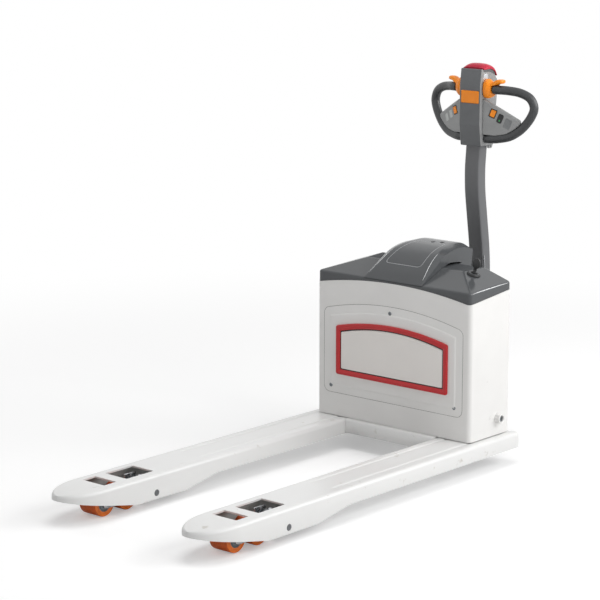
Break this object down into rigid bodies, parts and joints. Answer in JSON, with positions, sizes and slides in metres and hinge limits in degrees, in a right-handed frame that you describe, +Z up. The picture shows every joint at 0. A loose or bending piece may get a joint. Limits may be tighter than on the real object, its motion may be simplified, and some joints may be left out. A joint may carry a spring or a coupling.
{
  "type": "pallet jack",
  "caption": "Compact electric pallet truck: two forks with load rollers, white battery box, steered drive unit and an upright tiller with looped grips and controls.",
  "frame": {"origin": "middle of the truck's length and width, on the floor", "axes": "+X to the truck's right side with the forks pointing to -Y, +Y towards the tiller, +Z up"},
  "size_m": [0.6862, 1.7299, 1.2385],
  "materials": {
    "white_paint": "satin white paint",
    "grey_cover": "glossy dark grey",
    "dark_steel": "dark grey paint",
    "bright_steel": "ground and zinc plated",
    "hub_steel": "dark machined steel",
    "roller_orange": "orange polyurethane",
    "control_orange": "satin orange",
    "badge_red": "glossy red",
    "panel_grey": "light grey, bare",
    "belly_red": "crimson",
    "head_grey": "grained dark grey",
    "wing_grey": "satin mid grey",
    "grip_black": "soft touch, near black",
    "arm_grey": "satin dark grey paint",
    "key_black": "black",
    "battery_black": "black",
    "motor_grey": "dark cast housing",
    "tyre_black": "black"
  },
  "bodies": {
    "chassis": {"chassis_plate": "dark_steel", "slewing_ring": "bright_steel", "lift_cylinder": "dark_steel", "left_guide_post": "bright_steel", "right_guide_post": "bright_steel"},
    "fork_frame": {"left_fork": "white_paint", "right_fork": "white_paint", "cross_member": "white_paint", "battery_box": "white_paint", "access_plate": "white_paint", "badge_frame": "badge_red", "badge_panel": "panel_grey", "top_cover": "grey_cover", "cover_handle": "grey_cover", "isolator_base": "key_black", "battery_pack": "battery_black", "motor_controller": "motor_grey", "pump_unit": "dark_steel", "lift_bracket": "dark_steel", "lift_ram": "bright_steel", "left_arm_pin": "bright_steel", "right_arm_pin": "bright_steel", "left_shaft_bush": "white_paint", "right_shaft_bush": "white_paint"},
    "isolator_key": {"isolator_key": "key_black"},
    "rocker": {"rocker_shaft": "hub_steel"},
    "drive_unit": {"drive_gearbox": "motor_grey", "drive_motor": "motor_grey", "tiller_turret": "dark_steel", "tiller_pin": "bright_steel", "left_tiller_spring": "bright_steel", "right_tiller_spring": "bright_steel"},
    "drive_wheel": {"drive_tyre": "tyre_black", "drive_hub": "hub_steel"},
    "tiller": {"tiller_arm": "arm_grey", "control_head": "head_grey", "left_grip": "grip_black", "right_grip": "grip_black", "left_wing": "wing_grey", "right_wing": "wing_grey"},
    "belly_switch": {"belly_switch": "belly_red"},
    "horn_button": {"horn_button": "control_orange"},
    "throttle": {"left_throttle": "control_orange", "right_throttle": "control_orange"},
    "left_push_rod": {"left_push_rod": "bright_steel"},
    "left_load_arm": {"left_load_arm": "dark_steel"},
    "left_bogie": {"left_bogie": "bright_steel"},
    "left_front_roller": {"left_front_roller_tyre": "roller_orange", "left_front_roller_hub": "hub_steel"},
    "left_rear_roller": {"left_rear_roller_tyre": "roller_orange", "left_rear_roller_hub": "hub_steel"},
    "left_switch": {"left_switch": "control_orange"},
    "right_push_rod": {"right_push_rod": "bright_steel"},
    "right_load_arm": {"right_load_arm": "dark_steel"},
    "right_bogie": {"right_bogie": "bright_steel"},
    "right_front_roller": {"right_front_roller_tyre": "roller_orange", "right_front_roller_hub": "hub_steel"},
    "right_rear_roller": {"right_rear_roller_tyre": "roller_orange", "right_rear_roller_hub": "hub_steel"},
    "right_switch": {"right_switch": "control_orange"}
  },
  "joints": [
    {"name": "lift", "type": "slide", "parent": "chassis", "child": "fork_frame", "axis": [0, 0, 1], "range_m": [0, 0.105]},
    {"name": "steering", "type": "hinge", "parent": "chassis", "child": "drive_unit", "pos_m": [0, 0.7575, 0.235], "axis": [0, 0, 1], "range_deg": [-90, 90]},
    {"name": "drive_wheel_spin", "type": "hinge", "parent": "drive_unit", "child": "drive_wheel", "pos_m": [0, 0.7575, 0.105], "axis": [1, 0, 0], "continuous": true},
    {"name": "tiller_tilt", "type": "hinge", "parent": "drive_unit", "child": "tiller", "pos_m": [0, 0.8225, 0.525], "axis": [-1, 0, 0], "range_deg": [0, 75], "stiffness_Nm_per_rad": 18, "springref_deg": -25.78},
    {"name": "rocker_swing", "type": "hinge", "parent": "fork_frame", "child": "rocker", "pos_m": [0, 0.505, 0.155], "axis": [1, 0, 0], "range_deg": [-24.7, 0]},
    {"name": "left_rod_slide", "type": "slide", "parent": "fork_frame", "child": "left_push_rod", "axis": [0, -1, 0], "range_m": [0, 0.03205]},
    {"name": "left_arm_swing", "type": "hinge", "parent": "fork_frame", "child": "left_load_arm", "pos_m": [-0.2625, -0.529, 0.0436], "axis": [1, 0, 0], "range_deg": [0, 59.99]},
    {"name": "left_bogie_pivot", "type": "hinge", "parent": "left_load_arm", "child": "left_bogie", "pos_m": [-0.2625, -0.65245, 0.04], "axis": [1, 0, 0], "range_deg": [-59.99, 0]},
    {"name": "left_front_roller_spin", "type": "hinge", "parent": "left_bogie", "child": "left_front_roller", "pos_m": [-0.2625, -0.69995, 0.04], "axis": [1, 0, 0], "continuous": true},
    {"name": "left_rear_roller_spin", "type": "hinge", "parent": "left_bogie", "child": "left_rear_roller", "pos_m": [-0.2625, -0.60495, 0.04], "axis": [1, 0, 0], "continuous": true},
    {"name": "right_rod_slide", "type": "slide", "parent": "fork_frame", "child": "right_push_rod", "axis": [0, -1, 0], "range_m": [0, 0.03205]},
    {"name": "right_arm_swing", "type": "hinge", "parent": "fork_frame", "child": "right_load_arm", "pos_m": [0.2625, -0.529, 0.0436], "axis": [1, 0, 0], "range_deg": [0, 59.99]},
    {"name": "right_bogie_pivot", "type": "hinge", "parent": "right_load_arm", "child": "right_bogie", "pos_m": [0.2625, -0.65245, 0.04], "axis": [1, 0, 0], "range_deg": [-59.99, 0]},
    {"name": "right_front_roller_spin", "type": "hinge", "parent": "right_bogie", "child": "right_front_roller", "pos_m": [0.2625, -0.69995, 0.04], "axis": [1, 0, 0], "continuous": true},
    {"name": "right_rear_roller_spin", "type": "hinge", "parent": "right_bogie", "child": "right_rear_roller", "pos_m": [0.2625, -0.60495, 0.04], "axis": [1, 0, 0], "continuous": true},
    {"name": "isolator_turn", "type": "hinge", "parent": "fork_frame", "child": "isolator_key", "pos_m": [0.2245, 0.4855, 0.60929], "axis": [0.3061, 0, 0.952], "range_deg": [0, 90]},
    {"name": "belly_press", "type": "slide", "parent": "tiller", "child": "belly_switch", "axis": [0, 0, -1], "range_m": [0, 0.006], "stiffness_N_per_m": 900, "springref_m": -0.004},
    {"name": "horn_press", "type": "slide", "parent": "tiller", "child": "horn_button", "axis": [0, 1, 0], "range_m": [0, 0.003], "stiffness_N_per_m": 800, "springref_m": -0.001},
    {"name": "throttle_turn", "type": "hinge", "parent": "tiller", "child": "throttle", "pos_m": [0, 0.7825, 1.157], "axis": [1, 0, 0], "range_deg": [-30, 30], "stiffness_Nm_per_rad": 1.2},
    {"name": "left_switch_rock", "type": "hinge", "parent": "tiller", "child": "left_switch", "pos_m": [-0.07617, 0.77722, 1.0806], "axis": [0.9117, -0.3191, 0.2588], "range_deg": [-6, 6], "stiffness_Nm_per_rad": 0.3},
    {"name": "right_switch_rock", "type": "hinge", "parent": "tiller", "child": "right_switch", "pos_m": [0.07617, 0.77722, 1.0806], "axis": [0.9117, 0.3191, -0.2588], "range_deg": [-6, 6], "stiffness_Nm_per_rad": 0.3}
  ],
  "couplings": [
    {"joint": "rocker_swing", "follows": "lift", "rad_per_m": -4.0883},
    {"joint": "left_rod_slide", "follows": "lift", "ratio": 0.30427},
    {"joint": "left_arm_swing", "follows": "lift", "rad_per_m": 9.9557},
    {"joint": "left_bogie_pivot", "follows": "lift", "rad_per_m": -9.9557},
    {"joint": "right_rod_slide", "follows": "lift", "ratio": 0.30427},
    {"joint": "right_arm_swing", "follows": "lift", "rad_per_m": 9.9557},
    {"joint": "right_bogie_pivot", "follows": "lift", "rad_per_m": -9.9557}
  ]
}
